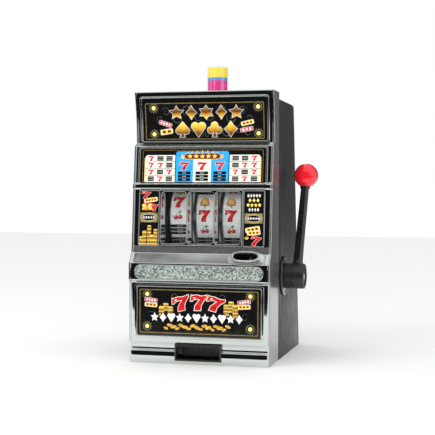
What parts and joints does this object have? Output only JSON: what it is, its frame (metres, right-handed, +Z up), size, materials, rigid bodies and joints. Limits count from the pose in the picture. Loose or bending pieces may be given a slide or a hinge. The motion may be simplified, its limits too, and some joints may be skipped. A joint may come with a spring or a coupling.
{
  "type": "slot machine coin bank",
  "caption": "Tabletop slot machine coin bank with plated front, spinning reels behind windows, side pull handle, coin cup, payout mouth and a light on top.",
  "frame": {"origin": "underside of the base, midway across the width, at the seam between front shell and rear casing", "axes": "+Z up, front faces -Y, handle on the +X side"},
  "size_m": [0.2236, 0.2257, 0.381],
  "materials": {
    "chrome": "mirror chrome plating on moulded plastic",
    "black_casing": "satin black",
    "black_gloss": "gloss black",
    "red_ball": "high gloss",
    "printed": "printed and laminated",
    "stippled": "stippled chrome plating on moulded plastic",
    "reel_strip": "printed strip",
    "clear": "clear plastic",
    "beacon_colour": "translucent bands",
    "steel": "turned",
    "grey_plastic": "moulded",
    "rubber": "matte",
    "circuit": "solder mask",
    "cell": "printed sleeve"
  },
  "bodies": {
    "cabinet": {"front_fascia": "chrome", "marquee_panel": "printed", "paytable_panel": "printed", "belly_panel": "printed", "left_side_panel": "printed", "right_side_panel": "printed", "ledge_inlay": "stippled", "reel_bezel": "chrome", "reel_lens": "clear", "pawl_shaft": "steel", "left_bracket": "steel", "right_bracket": "steel", "handle_flange": "black_gloss", "shaft_bush": "grey_plastic", "return_spring": "steel", "coin_cup": "chrome", "coin_chute": "grey_plastic", "coin_hopper": "grey_plastic", "payout_mouth": "black_gloss", "gate_pin": "steel", "rear_casing": "black_casing", "door_pin": "steel", "base_plate": "black_casing", "battery_cover": "black_casing", "battery_box": "black_casing", "battery_1": "cell", "battery_2": "cell", "battery_3": "cell", "cover_screw": "steel", "rubber_foot_1": "rubber", "rubber_foot_2": "rubber", "rubber_foot_3": "rubber", "rubber_foot_4": "rubber", "circuit_board": "circuit", "speaker": "black_gloss", "beacon_base": "black_gloss", "beacon_lens": "clear", "beacon_sleeve": "beacon_colour", "beacon_bulb": "clear"},
    "handle": {"handle_shaft": "steel", "handle_hub": "black_gloss", "hub_screw": "steel", "handle_arm": "black_gloss", "ball_knob": "red_ball", "drive_gear": "grey_plastic"},
    "reel_drive": {"reel_axle": "steel", "reel_pinion": "grey_plastic"},
    "reel_1": {"reel_1": "reel_strip", "index_wheel_1": "grey_plastic"},
    "reel_2": {"reel_2": "reel_strip", "index_wheel_2": "grey_plastic"},
    "reel_3": {"reel_3": "reel_strip", "index_wheel_3": "grey_plastic"},
    "stop_pawl_1": {"stop_pawl_1": "steel"},
    "stop_pawl_2": {"stop_pawl_2": "steel"},
    "stop_pawl_3": {"stop_pawl_3": "steel"},
    "payout_gate": {"payout_gate": "black_gloss"},
    "rear_door": {"rear_door": "black_casing"},
    "reset_button": {"reset_button": "red_ball"}
  },
  "joints": [
    {"name": "handle_pull", "type": "hinge", "parent": "cabinet", "child": "handle", "pos_m": [0.09, 0.0315, 0.106], "axis": [1, 0, 0], "range_deg": [0, 60], "stiffness_Nm_per_rad": 0.5, "springref_deg": -11.46, "deforming": ["return_spring"]},
    {"name": "reel_drive_turn", "type": "hinge", "parent": "cabinet", "child": "reel_drive", "pos_m": [0, 0.0275, 0.182], "axis": [1, 0, 0], "range_deg": [-120, 0]},
    {"name": "reel_1_spin", "type": "hinge", "parent": "cabinet", "child": "reel_1", "pos_m": [-0.03485, 0.0275, 0.182], "axis": [1, 0, 0], "continuous": true},
    {"name": "reel_2_spin", "type": "hinge", "parent": "cabinet", "child": "reel_2", "pos_m": [0, 0.0275, 0.182], "axis": [1, 0, 0], "continuous": true},
    {"name": "reel_3_spin", "type": "hinge", "parent": "cabinet", "child": "reel_3", "pos_m": [0.03485, 0.0275, 0.182], "axis": [1, 0, 0], "continuous": true},
    {"name": "stop_pawl_1_drop", "type": "hinge", "parent": "cabinet", "child": "stop_pawl_1", "pos_m": [-0.05015, 0.06475, 0.13989], "axis": [1, 0, 0], "range_deg": [0, 6], "stiffness_Nm_per_rad": 0.02, "springref_deg": -11.46},
    {"name": "stop_pawl_2_drop", "type": "hinge", "parent": "cabinet", "child": "stop_pawl_2", "pos_m": [-0.0153, 0.06475, 0.13989], "axis": [1, 0, 0], "range_deg": [0, 6], "stiffness_Nm_per_rad": 0.02, "springref_deg": -11.46},
    {"name": "stop_pawl_3_drop", "type": "hinge", "parent": "cabinet", "child": "stop_pawl_3", "pos_m": [0.01955, 0.06475, 0.13989], "axis": [1, 0, 0], "range_deg": [0, 6], "stiffness_Nm_per_rad": 0.02, "springref_deg": -11.46},
    {"name": "payout_gate_swing", "type": "hinge", "parent": "cabinet", "child": "payout_gate", "pos_m": [0, -0.036, 0.029], "axis": [-1, 0, 0], "range_deg": [0, 50], "stiffness_Nm_per_rad": 0.01, "springref_deg": -11.46},
    {"name": "rear_door_hinge", "type": "hinge", "parent": "cabinet", "child": "rear_door", "pos_m": [0, 0.15389, 0.03245], "axis": [-1, 0, 0], "range_deg": [0, 100]},
    {"name": "reset_button_press", "type": "slide", "parent": "cabinet", "child": "reset_button", "axis": [0, -0.989, -0.1476], "range_m": [0, 0.004], "stiffness_N_per_m": 300, "springref_m": -0.002}
  ],
  "couplings": [
    {"joint": "reel_drive_turn", "follows": "handle_pull", "ratio": -2}
  ]
}
